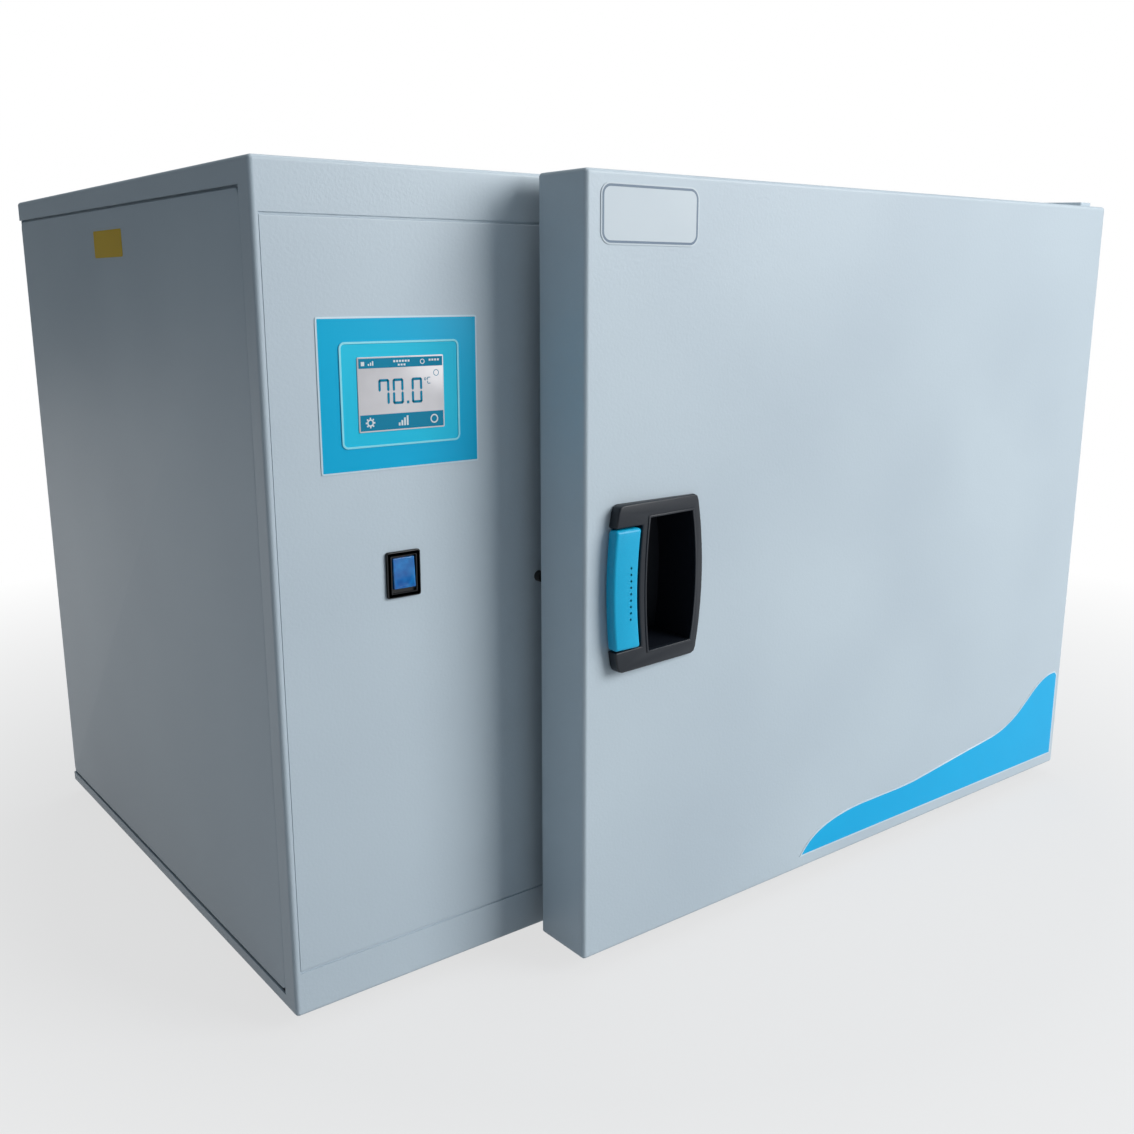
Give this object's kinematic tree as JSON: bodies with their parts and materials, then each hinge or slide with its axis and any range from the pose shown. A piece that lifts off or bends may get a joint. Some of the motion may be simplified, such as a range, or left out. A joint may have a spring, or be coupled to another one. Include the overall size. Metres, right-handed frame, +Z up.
{
  "type": "laboratory incubator",
  "caption": "Bench-top laboratory incubator: painted case with display and switch on the left, thick insulated door with a recessed lever handle, wire shelves inside.",
  "frame": {"origin": "bottom centre of the whole object's box, at the underside of the feet", "axes": "+X to the right seen from the front, -Y out of the front, +Z up"},
  "size_m": [0.832, 0.5988, 0.575],
  "materials": {
    "case_paint": "textured powder coat, satin",
    "stainless": "brushed stainless steel",
    "zinc_steel": "zinc-plated steel",
    "bare_aluminium": "extruded",
    "mineral_wool": "fibrous",
    "seal_silicone": "matt",
    "foot_rubber": "matt",
    "handle_black": "fine grain",
    "lever_blue": "satin",
    "switch_black": "satin",
    "rocker_blue": "tinted translucent",
    "overlay_blue": "printed film",
    "frame_pale": "printed film",
    "screen_glass": "gloss",
    "module_black": "matt",
    "board_green": "solder resist",
    "terminal_grey": "matt",
    "pin_brass": "plated",
    "film_blue": "printed film",
    "badge_white": "printed film",
    "sticker_yellow": "printed film"
  },
  "bodies": {
    "cabinet": {"outer_case": "case_paint", "left_side_panel": "case_paint", "right_side_panel": "case_paint", "side_panel_clips": "zinc_steel", "rear_panel": "case_paint", "rear_panel_screws": "zinc_steel", "rubber_feet": "foot_rubber", "foot_screws": "zinc_steel", "control_bay_bulkhead": "zinc_steel", "rear_inner_wall": "zinc_steel", "hinge_backing_plates": "zinc_steel", "chamber_liner": "stainless", "insulation_jacket": "mineral_wool", "fan_baffle": "stainless", "baffle_spacers": "stainless", "fan_motor": "zinc_steel", "heating_element": "stainless", "temperature_probe": "stainless", "access_port_tube": "stainless", "shelf_rack_left": "stainless", "shelf_rack_right": "stainless", "control_panel": "case_paint", "display_overlay": "overlay_blue", "display_bezel": "frame_pale", "touch_screen": "screen_glass", "controller_module": "module_black", "power_switch_body": "switch_black", "circuit_board": "board_green", "board_pillars": "zinc_steel", "heat_sink": "bare_aluminium", "solid_state_relay": "module_black", "terminal_strip": "terminal_grey", "overheat_cutout": "terminal_grey", "mains_inlet": "switch_black", "inlet_pins": "pin_brass", "top_hinge_plate": "case_paint", "bottom_hinge_plate": "case_paint", "hinge_pins": "stainless", "hinge_screws": "zinc_steel", "latch_keeper": "zinc_steel", "door_bumper": "foot_rubber", "side_sticker": "sticker_yellow"},
    "door": {"door_skin": "case_paint", "door_inner_panel": "stainless", "door_insulation": "mineral_wool", "door_seal": "seal_silicone", "handle_housing": "handle_black", "lever_pin": "stainless", "hinge_bushes": "pin_brass", "hinge_blocks": "zinc_steel", "door_badge": "badge_white", "door_accent_film": "film_blue"},
    "lever": {"handle_lever": "lever_blue"},
    "latch": {"latch_tongue": "zinc_steel"},
    "rocker": {"power_switch_rocker": "rocker_blue"},
    "fan": {"fan_impeller": "bare_aluminium", "fan_shaft": "stainless"},
    "lower_shelf": {"lower_shelf": "stainless"},
    "upper_shelf": {"upper_shelf": "stainless"}
  },
  "joints": [
    {"name": "door_hinge", "type": "hinge", "parent": "cabinet", "child": "door", "pos_m": [0.398, -0.2636, 0.292], "axis": [0, 0, 1], "range_deg": [0, 120]},
    {"name": "lever_squeeze", "type": "hinge", "parent": "door", "child": "lever", "pos_m": [-0.182, -0.2626, 0.292], "axis": [0, 0, 1], "range_deg": [0, 4], "stiffness_Nm_per_rad": 2, "springref_deg": -2.86},
    {"name": "latch_turn", "type": "hinge", "parent": "door", "child": "latch", "pos_m": [-0.182, -0.2626, 0.292], "axis": [0, 0, 1], "range_deg": [0, 4]},
    {"name": "rocker_tilt", "type": "hinge", "parent": "cabinet", "child": "rocker", "pos_m": [-0.323, -0.2216, 0.31], "axis": [1, 0, 0], "range_deg": [0, 14]},
    {"name": "fan_spin", "type": "hinge", "parent": "cabinet", "child": "fan", "pos_m": [0.106, 0.1754, 0.292], "axis": [0, 1, 0], "continuous": true},
    {"name": "lower_shelf_slide", "type": "slide", "parent": "cabinet", "child": "lower_shelf", "axis": [0, -1, 0], "range_m": [0, 0.014]},
    {"name": "upper_shelf_slide", "type": "slide", "parent": "cabinet", "child": "upper_shelf", "axis": [0, -1, 0], "range_m": [0, 0.014]}
  ],
  "couplings": [
    {"joint": "latch_turn", "follows": "lever_squeeze", "ratio": 1}
  ]
}
